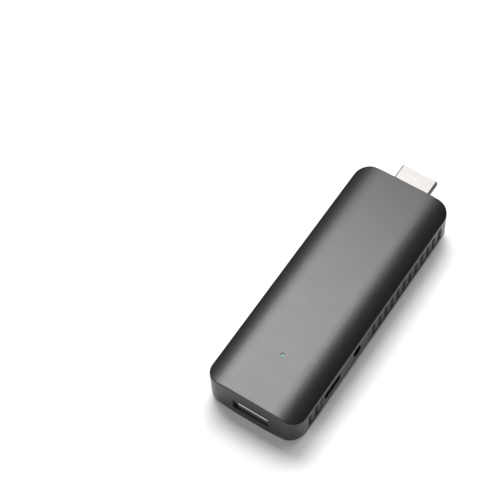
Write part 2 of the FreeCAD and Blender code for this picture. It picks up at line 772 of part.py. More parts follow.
def hdmi_pin(x, upper):
    """A contact along one face of the slot, jogged towards the board behind the block."""
    face = HDMI_CENTRE_Z + HDMI_SLOT_HALF_HEIGHT - 0.05
    board_gap = BOARD_TOP - HDMI_CENTRE_Z
    tip = HDMI_TIP - HDMI_INSULATOR_RECESS - 0.8
    jog = HDMI_REAR - 0.5
    outline = [
        (tip, face),
        (tip, face + HDMI_PIN_THICK),
        (jog, face + HDMI_PIN_THICK),
        (jog - HDMI_PIN_THICK, HDMI_CENTRE_Z + board_gap + HDMI_PIN_THICK),
        (HDMI_TAIL_START, HDMI_CENTRE_Z + board_gap + HDMI_PIN_THICK),
        (HDMI_TAIL_START, HDMI_CENTRE_Z + board_gap),
        (jog, HDMI_CENTRE_Z + board_gap),
        (jog + HDMI_PIN_THICK, face),
    ]
    if not upper:
        outline = [(distance, 2 * HDMI_CENTRE_Z - z) for distance, z in outline]
    points = [Vector(x - HDMI_PIN_WIDTH / 2, along(distance), z) for distance, z in outline]
    return extrude_profile(points, Vector(HDMI_PIN_WIDTH, 0, 0))


def hdmi_pins():
    """Ten contacts above the slot and nine below it, half a pitch apart."""
    upper = [hdmi_pin((index - 4.5) * HDMI_PIN_PITCH, True) for index in range(10)]
    lower = [hdmi_pin((index - 4.0) * HDMI_PIN_PITCH, False) for index in range(9)]
    return upper + lower


def hdmi_insulator(pins):
    """The black block inside the shell, open in front for the tongue of a socket."""
    gap = HDMI_SHEET + 0.02
    block_end = HDMI_TIP - HDMI_INSULATOR_RECESS
    body = hdmi_prism(gap, HDMI_REAR, block_end)
    half = HDMI_SLOT_HALF_WIDTH
    height = HDMI_SLOT_HALF_HEIGHT
    slot = block(-half, half, HDMI_BLOCK_END, block_end + 1, HDMI_CENTRE_Z - height, HDMI_CENTRE_Z + height)
    return body.cut([slot] + pins).removeSplitter()


# ---- power inlet ----


def inlet_prism(inset, x_low, x_high):
    """The inlet's outline, narrow side up, drawn between two X coordinates."""
    half = INLET_WIDTH / 2 - inset
    low = INLET_CENTRE_Z - INLET_HEIGHT / 2 + inset
    top = INLET_CENTRE_Z + INLET_HEIGHT / 2 - inset
    bevel = INLET_BEVEL
    outline = [(-half, low), (half, low), (half, top - bevel), (half - bevel, top), (bevel - half, top)]
    outline.append((-half, top - bevel))
    points = [Vector(x_low, along(INLET_PLACE + offset), z) for offset, z in outline]
    prism = extrude_profile(points, Vector(x_high - x_low, 0, 0))
    return rounded(prism, 0.2, Vector(1, 0, 0))


def inlet_shell():
    shell = inlet_prism(0, INLET_REAR, INLET_MOUTH)
    half = INLET_WIDTH / 2
    feet = []
    for side in (-1, 1):
        start = INLET_PLACE + side * (half + 0.4) - 0.5
        feet.append(
            block(INLET_REAR + 0.6, INLET_REAR + 2.2, start, start + 1.0, BOARD_TOP, BOARD_TOP + INLET_SHEET)
        )
    shell = shell.fuse(feet)
    return shell.cut(inlet_prism(INLET_SHEET, INLET_REAR - 0.5, INLET_MOUTH + 0.5)).removeSplitter()


def inlet_pin(index):
    """A contact on the upper face of the inlet's tongue, bent down behind it to the board."""
    middle = INLET_PLACE + (index - 2) * INLET_PIN_PITCH
    top = INLET_TONGUE_HIGH + 0.03
    low = top - INLET_PIN_THICK
    drop = INLET_REAR - 0.05
    outline = [
        (INLET_TONGUE_TIP - 0.4, low),
        (INLET_TONGUE_TIP - 0.4, top),
        (drop - INLET_PIN_THICK, top),
        (drop - INLET_PIN_THICK, BOARD_TOP + INLET_PIN_THICK),
        (INLET_TAIL_END, BOARD_TOP + INLET_PIN_THICK),
        (INLET_TAIL_END, BOARD_TOP),
        (drop, BOARD_TOP),
        (drop, low),
    ]
    points = [Vector(x, along(middle - INLET_PIN_WIDTH / 2), z) for x, z in outline]
    return extrude_profile(points, Vector(0, INLET_PIN_WIDTH, 0))


def inlet_insulator(pins):
    rear = inlet_prism(INLET_SHEET + 0.02, INLET_REAR, INLET_BLOCK_FRONT)
    half = INLET_TONGUE_WIDTH / 2
    tongue = block(
        INLET_BLOCK_FRONT - 0.1,
        INLET_TONGUE_TIP,
        INLET_PLACE - half,
        INLET_PLACE + half,
        INLET_TONGUE_LOW,
        INLET_TONGUE_HIGH,
    )
    return rear.fuse(tongue).cut(pins).removeSplitter()


# ---- reset button ----


def reset_button():
    """The cap in the panel's hole, with a flange behind the panel that keeps it in."""
    cap = rod_x(RESET_CAP_RADIUS, RESET_FLANGE_FRONT - 0.1, RESET_CAP_FACE, RESET_PLACE, RESET_Z)
    face_rim = [edge for edge in cap.Edges if edge.BoundBox.XMin > RESET_CAP_FACE - 1e-3]
    cap = cap.makeFillet(0.3, face_rim)
    flange = rod_x(RESET_FLANGE_RADIUS, RESET_FLANGE_BACK, RESET_FLANGE_FRONT, RESET_PLACE, RESET_Z)
    return cap.fuse(flange).removeSplitter()


def switch_body():
    half = SWITCH_LENGTH / 2
    top = BOARD_TOP + SWITCH_HEIGHT
    body = block(SWITCH_BACK, SWITCH_FRONT, RESET_PLACE - half, RESET_PLACE + half, BOARD_TOP, top)
    bore = rod_x(PLUNGER_BORE_RADIUS, PLUNGER_BORE_BACK, SWITCH_FRONT + 0.5, RESET_PLACE, RESET_Z)
    return body.cut(bore)


def switch_cover():
    """The bent steel clip over the switch, with a foot at each end."""
    half = SWITCH_LENGTH / 2
    top = BOARD_TOP + SWITCH_HEIGHT
    middle = (SWITCH_BACK + SWITCH_FRONT) / 2
    depth = SWITCH_FRONT - SWITCH_BACK
    outer_length = SWITCH_LENGTH + 2 * SWITCH_SHEET
    clip = centred_block(middle, RESET_PLACE, depth - 0.6, outer_length, BOARD_TOP, top + SWITCH_SHEET)
    inside = centred_block(middle, RESET_PLACE, depth, SWITCH_LENGTH, BOARD_TOP - 0.5, top)
    feet = []
    for side in (-1, 1):
        place = RESET_PLACE + side * (half + 0.5)
        feet.append(centred_block(middle, place, 1.4, 1.0, BOARD_TOP, BOARD_TOP + SWITCH_SHEET))
    return clip.fuse(feet).cut(inside).removeSplitter()


def switch_plunger():
    return rod_x(PLUNGER_RADIUS, PLUNGER_BACK, RESET_FLANGE_BACK, RESET_PLACE, RESET_Z)


# ---- every node ----


def main():
    save("upper_housing", upper_housing())
    save("bottom_cover", bottom_cover())
    window_start = WINDOW_START + FIT_GAP
    window_end = WINDOW_END - FIT_GAP
    save("left_grille", mirrored(grille(window_start, window_end, FLANGE_OVERLAP, FLANGE_OVERLAP)))
    save("right_grille_short", grille(window_start, PANEL_START - FIT_GAP, FLANGE_OVERLAP, 0))
    save("right_grille_long", grille(PANEL_END + FIT_GAP, window_end, 0, FLANGE_OVERLAP))
    save("port_panel", port_panel())
    save("light_pipe", light_pipe())
    save("board_screws", *[board_screw(x, place) for x, place in SCREW_PLACES])

    save("main_board", main_board())
    save("processor", on_board(*PROCESSOR))
    save("memory_chip_first", on_board(*MEMORY_FIRST))
    save("memory_chip_second", on_board(*MEMORY_SECOND))
    save("flash_chip", under_board(*FLASH_CHIP))
    save("lower_shield_can", lower_can())
    save("power_chip", on_board(*POWER_CHIP))
    save("power_inductors", *[inductor(x, place) for x, place in INDUCTOR_PLACES])
    bulk = [on_board(x, place, *BULK_CAPACITOR_SIZE) for x, place in BULK_CAPACITOR_PLACES]
    save("bulk_capacitors", *bulk)
    save("chip_capacitors", *small_capacitors())
    save("chip_resistors", *resistors())
    save("system_crystal", rounded(on_board(*SYSTEM_CRYSTAL), 0.4, Vector(0, 0, 1)))
    save("inlet_diode", on_board(*INLET_DIODE))
    save("usb_power_switch", on_board(*USB_SWITCH_CHIP))
    save("hdmi_protection_chips", *[on_board(x, place, *PROTECTION_SIZE) for x, place in PROTECTION_PLACES])
    save("radio_board", on_board(*RADIO_BOARD))
    save("radio_chip", on_board(*RADIO_CHIP, RADIO_BOARD[4]))
    save("radio_shield_can", radio_can())
    save("wifi_aerial_first", mirrored(aerial(16.6)))
    save("wifi_aerial_second", aerial(54.0))
    save("thermal_pads", *thermal_pads())
    save("heat_sink", heat_sink())
    save("status_led", status_led())

    hdmi_contacts = hdmi_pins()
    save("hdmi_plug_shell", hdmi_shell())
    save("hdmi_plug_insulator", hdmi_insulator(hdmi_contacts))
    save("hdmi_plug_contacts", *hdmi_contacts)
    usb_contacts = [usb_pin(x) for x in USB_PIN_X]
    save("usb_socket_shell", usb_shell())
    save("usb_socket_insulator", usb_insulator(usb_contacts))
    save("usb_socket_contacts", *usb_contacts)
    inlet_contacts = [inlet_pin(index) for index in range(5)]
    save("power_inlet_shell", inlet_shell())
    save("power_inlet_insulator", inlet_insulator(inlet_contacts))
    save("power_inlet_contacts", *inlet_contacts)

    save("reset_button", reset_button())
    save("reset_switch_plunger", switch_plunger())
    save("reset_switch_body", switch_body())
    save("reset_switch_cover", switch_cover())


main()
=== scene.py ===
"""Looks of the streaming media stick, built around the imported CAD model. All lengths are in metres.

Frame: the origin is at the centre of the footprint, +X is the side with the power inlet, +Y runs towards
the HDMI plug and +Z is up.
"""

import math

import bmesh
import bpy
from mathutils import Matrix, Vector


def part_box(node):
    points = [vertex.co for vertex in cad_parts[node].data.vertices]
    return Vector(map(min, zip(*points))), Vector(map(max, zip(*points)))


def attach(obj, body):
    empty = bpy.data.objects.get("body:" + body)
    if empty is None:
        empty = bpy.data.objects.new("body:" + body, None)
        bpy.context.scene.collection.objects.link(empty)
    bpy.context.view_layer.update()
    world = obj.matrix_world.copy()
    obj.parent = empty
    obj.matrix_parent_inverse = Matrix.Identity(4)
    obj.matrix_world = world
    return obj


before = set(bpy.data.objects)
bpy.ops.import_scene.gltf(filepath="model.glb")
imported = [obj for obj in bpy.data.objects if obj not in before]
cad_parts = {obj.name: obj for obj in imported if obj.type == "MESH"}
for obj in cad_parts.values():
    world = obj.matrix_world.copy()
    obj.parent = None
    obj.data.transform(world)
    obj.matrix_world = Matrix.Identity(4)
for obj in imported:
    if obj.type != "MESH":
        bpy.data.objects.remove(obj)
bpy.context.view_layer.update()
MM = 0.001
MICRON = 1e-6

# The two flat axes, as places in a vector
X, Y = 0, 1

# Camera: where it stands and how it is turned, in degrees
CAMERA_PLACE = (0.1397, -0.23155, 0.4850)
CAMERA_AZIMUTH = 37.27
CAMERA_ELEVATION = 58.61
CAMERA_ROLL = -4.34
CAMERA_LENS = 117.3
CAMERA_SENSOR = 36.0

# Light: each lamp's middle, width, depth and power. The gloss card, just over the softbox, and the rim card,
# low on the right, show only in reflections. The back lamp and the right lamp show in none.
SOFTBOX = ((-0.350, 0.277, 0.810), 0.585, 0.404, 7.9)
GLOSS_CARD = ((-0.350, 0.277, 0.812), 0.585, 0.404, 6.6)
RIM_CARD = ((0.95, 0.35, 0.14), 0.9, 0.10, 1.6)
BACK_LAMP = ((-0.25, 0.95, 0.85), 1.0, 0.7, 8.5)
RIGHT_LAMP = ((0.30, 0.42, 0.85), 0.4, 0.4, 1.9)
FRONT_LAMP = ((-0.22, -1.00, 0.24), 1.0, 0.36, 9.0)
DOME = 0.12
BACKDROP = 0.93
FLOOR_HALF = 1.0
FLOOR_WHITE = 0.90

# Small electronics: the thickness of tin, flat terminals, leads, tracks, gold and pressed frames
TINNING = 0.02 * MM
TAB = 0.1 * MM
LEAD_SHEET = 0.16 * MM
TRACK_HEIGHT = 0.035 * MM
GILT = 0.02 * MM
EMBOSS = 0.08 * MM

# The width of a track that carries a signal
SIGNAL_TRACK = 0.14 * MM

# How far up a terminal its solder climbs, as a share of the terminal's height
WETTED = 0.6

# The outline of a solder fillet, which starts inside the part: how far out, as a share of its foot, and how
# high, as a share of its rise
FILLET = ((-0.1, 0.0), (1.0, 0.0), (0.45, 0.2), (0.15, 0.55), (0.0, 1.0), (-0.1, 1.0))


# ---- shader helpers ----


class Shader:
    """Work on a Principled material. Textures use the object's own coordinates, in metres."""

    def __init__(self, material):
        self.material = material
        self.tree = material.node_tree
        self.surface = self.tree.nodes["Principled BSDF"]
        self.place = self.node("ShaderNodeTexCoord").outputs["Object"]

    @classmethod
    def named(cls, name):
        """Starts a new material."""
        material = bpy.data.materials.new(name)
        material.use_nodes = True
        return cls(material)

    def node(self, kind, **settings):
        made = self.tree.nodes.new(kind)
        for name, value in settings.items():
            setattr(made, name, value)
        return made

    def put(self, value, socket):
        """Links an output, or sets a plain value."""
        if isinstance(value, bpy.types.NodeSocket):
            self.tree.links.new(value, socket)
        else:
            socket.default_value = value

    def set(self, **sockets):
        """Sets or links the surface's own sockets. An underscore stands for a space."""
        for name, value in sockets.items():
            self.put(value, self.surface.inputs[name.replace("_", " ")])

    def stretched(self, x, y, z):
        """The object's coordinates, each axis multiplied, for grain that runs one way."""
        mapping = self.node("ShaderNodeMapping")
        self.put(self.place, mapping.inputs["Vector"])
        mapping.inputs["Scale"].default_value = (x, y, z)
        return mapping.outputs["Vector"]

    def noise(self, scale, detail=2.0, roughness=0.5, at=None):
        texture = self.node("ShaderNodeTexNoise")
        self.put(at or self.place, texture.inputs["Vector"])
        texture.inputs["Scale"].default_value = scale
        texture.inputs["Detail"].default_value = detail
        texture.inputs["Roughness"].default_value = roughness
        return texture.outputs["Fac"]

    def spread(self, value, low, high, from_low=0.3, from_high=0.7):
        """Maps a texture's value to a range, clamped at both ends."""
        mapped = self.node("ShaderNodeMapRange")
        self.put(value, mapped.inputs["Value"])
        mapped.inputs["From Min"].default_value = from_low
        mapped.inputs["From Max"].default_value = from_high
        mapped.inputs["To Min"].default_value = low
        mapped.inputs["To Max"].default_value = high
        return mapped.outputs["Result"]

    def mix(self, factor, first, second):
        mixed = self.node("ShaderNodeMix", data_type="RGBA")
        self.put(factor, mixed.inputs["Factor"])
        self.put(first, mixed.inputs["A"])
        self.put(second, mixed.inputs["B"])
        return mixed.outputs["Result"]

    def math(self, operation, first, second=0.0):
        made = self.node("ShaderNodeMath", operation=operation)
        self.put(first, made.inputs[0])
        self.put(second, made.inputs[1])
        return made.outputs["Value"]

    def vector_math(self, operation, first, second=(0.0, 0.0, 0.0), output="Vector"):
        made = self.node("ShaderNodeVectorMath", operation=operation)
        self.put(first, made.inputs[0])
        self.put(second, made.inputs[1])
        return made.outputs[output]

    def bump(self, height, depth, strength):
        """Adds relief of a depth in metres on top of what is there."""
        made = self.node("ShaderNodeBump")
        normal = self.surface.inputs["Normal"]
        if normal.is_linked:
            self.put(normal.links[0].from_socket, made.inputs["Normal"])
        self.put(height, made.inputs["Height"])
        made.inputs["Distance"].default_value = depth
        made.inputs["Strength"].default_value = strength
        self.put(made.outputs["Normal"], normal)

    def edges(self, radius):
        """1 along sharp edges and 0 on flat faces, as far as the radius reaches."""
        bevel = self.node("ShaderNodeBevel", samples=6)
        bevel.inputs["Radius"].default_value = radius
        normal = self.node("ShaderNodeNewGeometry").outputs["Normal"]
        agreement = self.vector_math("DOT_PRODUCT", bevel.outputs["Normal"], normal, output="Value")
        return self.spread(agreement, 1.0, 0.0, from_low=0.75, from_high=0.99)


def grey(value):
    return (value, value, value, 1.0)


def tinted(colour, factor):
    """A darker or lighter version of a colour."""
    return [factor * channel for channel in colour[:3]] + [1.0]


# ---- plastics ----


def moulded_plastic(name, colour, roughness, grain=5200.0, depth=9e-6, edge_highlight=None, ior=1.4):
    """Satin plastic from an etched mould: fine grain, faint flow shading, and a painted edge highlight that
    lightens the edges in patches.
    """
    shader = Shader.named(name)
    flow = shader.spread(shader.noise(90.0, detail=3.0), 0.0, 1.0)
    tone = shader.mix(flow, tinted(colour, 0.97), tinted(colour, 1.03))
    fleck = shader.spread(shader.noise(0.6 * grain, detail=1.0), 0.0, 0.35)
    tone = shader.mix(fleck, tone, tinted(colour, 1.5))
    gloss = shader.spread(shader.noise(240.0, detail=4.0), roughness - 0.01, roughness + 0.01)
    # Painted edge highlight: the colour goes lighter along the edges, broken into patches.
    if edge_highlight is not None:
        patches = shader.spread(shader.noise(700.0, detail=3.0), 0.15, 0.8)
        edge_highlight_mask = shader.math("MULTIPLY", shader.edges(0.25 * MM), patches)
        tone = shader.mix(edge_highlight_mask, tone, edge_highlight)
    shader.set(Base_Color=tone, Roughness=gloss, IOR=ior)
    shader.bump(shader.noise(grain), depth, strength=0.5)
    return shader.material


def housing_plastic():
    return moulded_plastic("satin_charcoal_plastic", grey(0.005), 0.33, edge_highlight=grey(0.02))


def grille_plastic():
    return moulded_plastic("charcoal_grille_plastic", grey(0.005), 0.32, edge_highlight=grey(0.02), ior=1.24)


def button_plastic():
    return moulded_plastic("black_button_plastic", grey(0.008), 0.30, grain=7000.0, depth=5e-6)


def light_pipe_plastic():
    """Tinted plastic that looks lit from below, brighter in its middle."""
    rim = (0.004, 0.060, 0.042, 1.0)
    core = (0.009, 0.180, 0.126, 1.0)
    low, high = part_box("light_pipe")
    middle = (low + high) / 2
    shader = Shader.named("teal_light_pipe_plastic")
    offset = shader.vector_math("SUBTRACT", shader.place, (middle.x, middle.y, 0.0))
    flat = shader.vector_math("MULTIPLY", offset, (1.0, 1.0, 0.0))
    distance = shader.vector_math("LENGTH", flat, output="Value")
    near = shader.spread(distance, 1.0, 0.0, from_low=0.25 * MM, from_high=0.75 * MM)
    glow = shader.math("MULTIPLY", near, shader.spread(shader.noise(2500.0), 0.85, 1.1))
    colour = shader.mix(glow, rim, core)
    shader.set(Base_Color=colour, Roughness=0.28, IOR=1.33)
    shader.set(Emission_Color=colour, Emission_Strength=0.10)
    return shader.material


# ---- metals ----


def rolled_metal(name, colour, roughness, streak=(2600.0, 160.0, 2600.0), depth=2.5e-6, wave=1.2e-5):
    """Plated sheet or turned metal with fine streaks one way, dull patches and a slight wave."""
    shader = Shader.named(name)
    lines = shader.noise(1.0, detail=3.0, roughness=0.6, at=shader.stretched(*streak))
    patches = shader.noise(420.0, detail=4.0, roughness=0.6)
    tone = shader.mix(shader.spread(patches, 0.0, 1.0), tinted(colour, 0.88), colour)
    wear = shader.math("ADD", lines, patches)
    gloss = shader.spread(wear, roughness - 0.06, roughness + 0.08, from_low=0.6, from_high=1.4)
    shader.set(Base_Color=tone, Roughness=gloss, Metallic=1.0)
    shader.bump(shader.noise(260.0, detail=1.0), wave, strength=0.5)
    shader.bump(lines, depth, strength=0.6)
    return shader.material


def plug_plating():
    """Blasted nickel: its fine dimples scatter part of the light. Painted shade darkens the shell along both
    side edges.
    """
    fold_shade = (0.035, 0.034, 0.032, 1.0)
    low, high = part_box("hdmi_plug_insulator")
    half = (high.x - low.x) / 2
    shader = Shader(rolled_metal("warm_nickel_plating", (0.232, 0.225, 0.215, 1.0), 0.38))
    across = shader.node("ShaderNodeSeparateXYZ")
    shader.put(shader.place, across.inputs["Vector"])
    off_axis = shader.math("ABSOLUTE", across.outputs["X"])
    # Painted shade: the colour darkens towards both side edges of the plug.
    fold_shade_mask = shader.spread(off_axis, 0.0, 1.0, from_low=half - 0.35 * MM, from_high=half + 0.05 * MM)
    tone = shader.surface.inputs["Base Color"].links[0].from_socket
    shader.set(Base_Color=shader.mix(fold_shade_mask, tone, fold_shade), Metallic=0.6)
    return shader.material


def plated_steel():
    return rolled_metal("nickel_plated_steel", (0.62, 0.61, 0.59, 1.0), 0.30)


def shaded_socket_steel():
    # Painted shade: the plated steel darkened, for the shell deep inside the socket.
    return rolled_metal("socket_steel_painted_shade", (0.20, 0.20, 0.195, 1.0), 0.38)


def contact_gold():
    return rolled_metal("contact_gold_plating", (0.94, 0.68, 0.30, 1.0), 0.20, depth=1.5e-6, wave=4e-6)


def screw_steel():
    along_screw = (3000.0, 3000.0, 400.0)
    return rolled_metal("dark_zinc_screw_steel", (0.36, 0.36, 0.37, 1.0), 0.32, streak=along_screw)


def sink_aluminium():
    along_fins = (3400.0, 90.0, 3400.0)
    return rolled_metal("extruded_aluminium", (0.74, 0.75, 0.77, 1.0), 0.34, streak=along_fins, depth=4e-6)


def bright_solder():
    all_ways = (500.0, 500.0, 500.0)
    return rolled_metal("bright_solder", (0.68, 0.68, 0.66, 1.0), 0.24, streak=all_ways, depth=3e-6)


# ---- the board and what is on it ----


def circuit_board():
    """Green solder mask over the mottled weave of the glass cloth."""
    shader = Shader.named("green_circuit_board")
    weave = shader.math(
        "ADD",
        shader.noise(1.0, detail=1.0, at=shader.stretched(3000.0, 300.0, 900.0)),
        shader.noise(1.0, detail=1.0, at=shader.stretched(300.0, 3000.0, 900.0)),
    )
    mottle = shader.spread(weave, 0.0, 1.0, from_low=0.7, from_high=1.3)
    tone = shader.mix(mottle, (0.006, 0.055, 0.022, 1.0), (0.012, 0.095, 0.040, 1.0))
    shader.set(Base_Color=tone, Roughness=shader.spread(shader.noise(500.0), 0.28, 0.42), IOR=1.52)
    shader.bump(weave, 6e-6, strength=0.5)
    return shader.material


def masked_copper():
    """Copper under the solder mask: a lighter and smoother green than the bare board."""
    shader = Shader.named("green_masked_copper")
    mottle = shader.spread(shader.noise(1500.0, detail=3.0), 0.0, 1.0)
    tone = shader.mix(mottle, (0.014, 0.130, 0.050, 1.0), (0.022, 0.175, 0.070, 1.0))
    shader.set(Base_Color=tone, Roughness=shader.spread(shader.noise(600.0), 0.24, 0.34), IOR=1.52)
    shader.bump(shader.noise(2200.0), 2e-6, strength=0.5)
    return shader.material


def matt_block(name, colour, roughness, grain=6000.0, depth=8e-6, contrast=0.3):
    """A dull cast or pressed block with a sandy surface."""
    shader = Shader.named(name)
    speck = shader.noise(grain, detail=3.0, roughness=0.65)
    mottle = shader.spread(speck, 0.0, 1.0)
    tone = shader.mix(mottle, tinted(colour, 1.0 - contrast), tinted(colour, 1.0 + contrast))
    gloss = shader.spread(shader.noise(900.0), roughness - 0.06, roughness + 0.06)
    shader.set(Base_Color=tone, Roughness=gloss, IOR=1.5)
    shader.bump(speck, depth, strength=0.6)
    return shader.material


def chip_epoxy():
    return matt_block("black_chip_epoxy", grey(0.018), 0.55)


def inductor_ferrite():
    return matt_block("grey_ferrite", grey(0.06), 0.60, grain=4000.0)


def capacitor_epoxy():
    ochre = (0.55, 0.28, 0.05, 1.0)
    return matt_block("ochre_capacitor_epoxy", ochre, 0.45, grain=3500.0, contrast=0.12)


def chip_ceramic():
    tan = (0.36, 0.24, 0.15, 1.0)
    return matt_block("tan_chip_ceramic", tan, 0.42, grain=9000.0, contrast=0.12)


def resistor_glass():
    return matt_block("black_resistor_glass", grey(0.02), 0.30, grain=7000.0)


def thermal_silicone():
    blue_grey = (0.30, 0.34, 0.40, 1.0)
    return matt_block("grey_thermal_silicone", blue_grey, 0.75, grain=2500.0, depth=2e-5)


def black_nylon():
    return matt_block("black_insulator_nylon", grey(0.015), 0.42, grain=5000.0, depth=6e-6)


def white_nylon():
    white = (0.95, 0.95, 0.94, 1.0)
    return matt_block("white_insulator_nylon", white, 0.30, grain=5000.0, depth=4e-6, contrast=0.03)


def pale_ink():
    cream = (0.72, 0.66, 0.50, 1.0)
    return matt_block("pale_ink", cream, 0.5, grain=8000.0, depth=2e-6, contrast=0.10)


def dark_line():
    return matt_block("dark_seam", grey(0.03), 0.5, grain=8000.0, depth=2e-6)


def status_light():
    """The LED's phosphor, which glows teal."""
    glow = (0.2, 0.9, 0.65, 1.0)
    shader = Shader.named("led_phosphor")
    mottle = shader.spread(shader.noise(3500.0), 0.0, 1.0)
    tone = shader.mix(mottle, (0.5, 0.8, 0.7, 1.0), (0.8, 0.9, 0.8, 1.0))
    shader.set(Base_Color=tone, Roughness=0.3, Emission_Color=glow, Emission_Strength=2.0)
    return shader.material


# The material of each slot in the record
MATERIALS = {
    "housing_plastic": housing_plastic(),
    "grille_plastic": grille_plastic(),
    "button_plastic": button_plastic(),
    "light_pipe_plastic": light_pipe_plastic(),
    "screw_steel": screw_steel(),
    "circuit_board": circuit_board(),
    "chip_epoxy": chip_epoxy(),
    "inductor_ferrite": inductor_ferrite(),
    "bulk_capacitor": capacitor_epoxy(),
    "chip_ceramic": chip_ceramic(),
    "chip_resistor": resistor_glass(),
    "plated_steel": plated_steel(),
    "plug_plating": plug_plating(),
    "contact_gold": contact_gold(),
    "thermal_silicone": thermal_silicone(),
    "sink_aluminium": sink_aluminium(),
    "status_light": status_light(),
    "black_insulator": black_nylon(),
    "white_insulator": white_nylon(),
}

# Materials for the USB shell, a darker copy of the plated steel that paints the shade inside the socket, and
# for new pieces
SOCKET_SHADE_STEEL = shaded_socket_steel()
SOLDER = bright_solder()
MASKED_COPPER = masked_copper()
PALE_INK = pale_ink()
DARK_LINE = dark_line()


def paint_cad_nodes():
    """Gives each CAD node the material of its slot in the record, and the USB shell a darker copy of the
    plating, as painted shade.
    """
    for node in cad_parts.values():
        for place in node.material_slots:
            place.material = MATERIALS[place.material.name.split(".")[0]]
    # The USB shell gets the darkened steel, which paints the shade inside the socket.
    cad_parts["usb_socket_shell"].material_slots[0].material = SOCKET_SHADE_STEEL


# ---- building pieces ----


def solid_boxes(node):
    """The corners of each separate solid's box in a CAD node, whose mesh may be split at its edges."""
    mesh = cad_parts[node].data
    spots = [tuple(round(c / MICRON) for c in vertex.co) for vertex in mesh.vertices]
    # Faces that share a spot belong to one solid, so each spot points to the set of all spots joined to it
    group = {}
    for face in mesh.polygons:
        joined = {spots[index] for index in face.vertices}
        for known in {id(group[spot]): group[spot] for spot in joined if spot in group}.values():
            joined = joined | known
        for spot in joined:
            group[spot] = joined
    boxes = []
    for solid in {id(solid): solid for solid in group.values()}.values():
        low = Vector([min(spot[axis] for spot in solid) for axis in range(3)]) * MICRON
        high = Vector([max(spot[axis] for spot in solid) for axis in range(3)]) * MICRON
        boxes.append((low, high))
    return boxes


def end_of(low, high, axis, end):
    """Where one end of a part lies along an axis. The end is 1 for the high one and -1 for the low one."""
    return high[axis] if end > 0 else low[axis]


def along(axis, length):
    """A vector of a length along an axis."""
    vector = Vector((0.0, 0.0, 0.0))
    vector[axis] = length
    return vector


def moved(corner, axis, place, height):
    """A corner moved to a place on one flat axis and to a height."""
    point = Vector(corner)
    point[axis] = place
    point.z = height
    return point


def row(middle, count, pitch):
    """The places of an even row about its middle."""
    return [middle + (index - (count - 1) / 2) * pitch for index in range(count)]


def new_piece(name, shape, material, body="stick"):
    """Turns a finished shape into an object that moves with a body."""
    bmesh.ops.recalc_face_normals(shape, faces=shape.faces)
    mesh = bpy.data.meshes.new(name)
    shape.to_mesh(mesh)
    shape.free()
    mesh.materials.append(material)
    piece = bpy.data.objects.new(name, mesh)
    bpy.context.scene.collection.objects.link(piece)
    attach(piece, body)


def add_block(shape, low, high, rounding):
    """A box between two corners with rounded edges."""
    low, high = Vector(low), Vector(high)
    place = Matrix.Translation((low + high) / 2) @ Matrix.Diagonal((*(high - low), 1.0))
    corners = bmesh.ops.create_cube(shape, size=1.0, matrix=place)["verts"]
    edges = list(dict.fromkeys(edge for corner in corners for edge in corner.link_edges))
    bmesh.ops.bevel(shape, geom=edges, offset=rounding, segments=2, profile=0.5, affect="EDGES")


def add_prism(shape, outline, sweep):
    """A flat outline swept along a vector, closed at both ends."""
    near = [shape.verts.new(point) for point in outline]
    far = [shape.verts.new(point + sweep) for point in outline]
    shape.faces.new(near)
    shape.faces.new(reversed(far))
    for index in range(len(near)):
        shape.faces.new((near[index - 1], far[index - 1], far[index], near[index]))


def add_turned(shape, centre, axis, section, closed=True, steps=24):
    """A section of (radius, height) points turned round an axis. An open one starts and ends on the axis."""
    centre, axis = Vector(centre), Vector(axis)
    side = axis.orthogonal().normalized()
    spokes = []
    for step in range(steps):
        out = Matrix.Rotation(math.tau * step / steps, 3, axis) @ side
        spokes.append([shape.verts.new(centre + out * radius + axis * rise) for radius, rise in section])
    for step in range(steps):
        first, second = spokes[step - 1], spokes[step]
        for index in range(0 if closed else 1, len(section)):
            shape.faces.new((first[index - 1], first[index], second[index], second[index - 1]))
    made = [vertex for spoke in spokes for vertex in spoke]
    bmesh.ops.remove_doubles(shape, verts=made, dist=MICRON / 10)


def add_ribbon(shape, points, width, low, high):
    """A flat strip of one height along a line of (x, y) points, mitred to at most twice its width."""
    line = [Vector(point) for point in points]
    rows = []
    for index, here in enumerate(line):
        back = (here - line[index - 1]).normalized() if index else None
        ahead = (line[index + 1] - here).normalized() if index + 1 < len(line) else None
        way = ((back or ahead) + (ahead or back)).normalized()
        side = Vector((-way.y, way.x)) * (width / 2) / max(way.dot(ahead or back), 0.5)
        corners = ((side, low), (side, high), (-side, high), (-side, low))
        rows.append([shape.verts.new((*(here + offset), height)) for offset, height in corners])
    for first, second in zip(rows, rows[1:]):
        for index in range(4):
            shape.faces.new((first[index - 1], first[index], second[index], second[index - 1]))
    shape.faces.new(rows[0])
    shape.faces.new(reversed(rows[-1]))


# ---- solder and terminals ----


def add_fillet(shape, low, high, axis, end, foot, rise, up=1):
    """Solder that climbs one end of a part, from the board under it or, where up is -1, over it."""
    board = low.z if up > 0 else high.z
    face = end_of(low, high, axis, end)
    outline = []
    for out, height in FILLET:
        outline.append(moved(low, axis, face + end * out * foot, board + up * height * rise))
    add_prism(shape, outline, along(1 - axis, (high - low)[1 - axis]))


def add_terminal(shape, low, high, axis, end, reach, foot):
    """A tinned end wrapped round one end of a chip, and its solder."""
    cap_low, cap_high = low.copy(), high.copy()
    if end > 0:
        cap_low[axis] = high[axis] - reach
    else:
        cap_high[axis] = low[axis] + reach
    cap_low -= Vector((TINNING, TINNING, 0.0))
    cap_high += Vector((TINNING, TINNING, TINNING))
    add_block(shape, cap_low, cap_high, rounding=0.8 * TINNING)
    add_fillet(shape, cap_low, cap_high, axis, end, foot, rise=WETTED * (high.z - low.z))


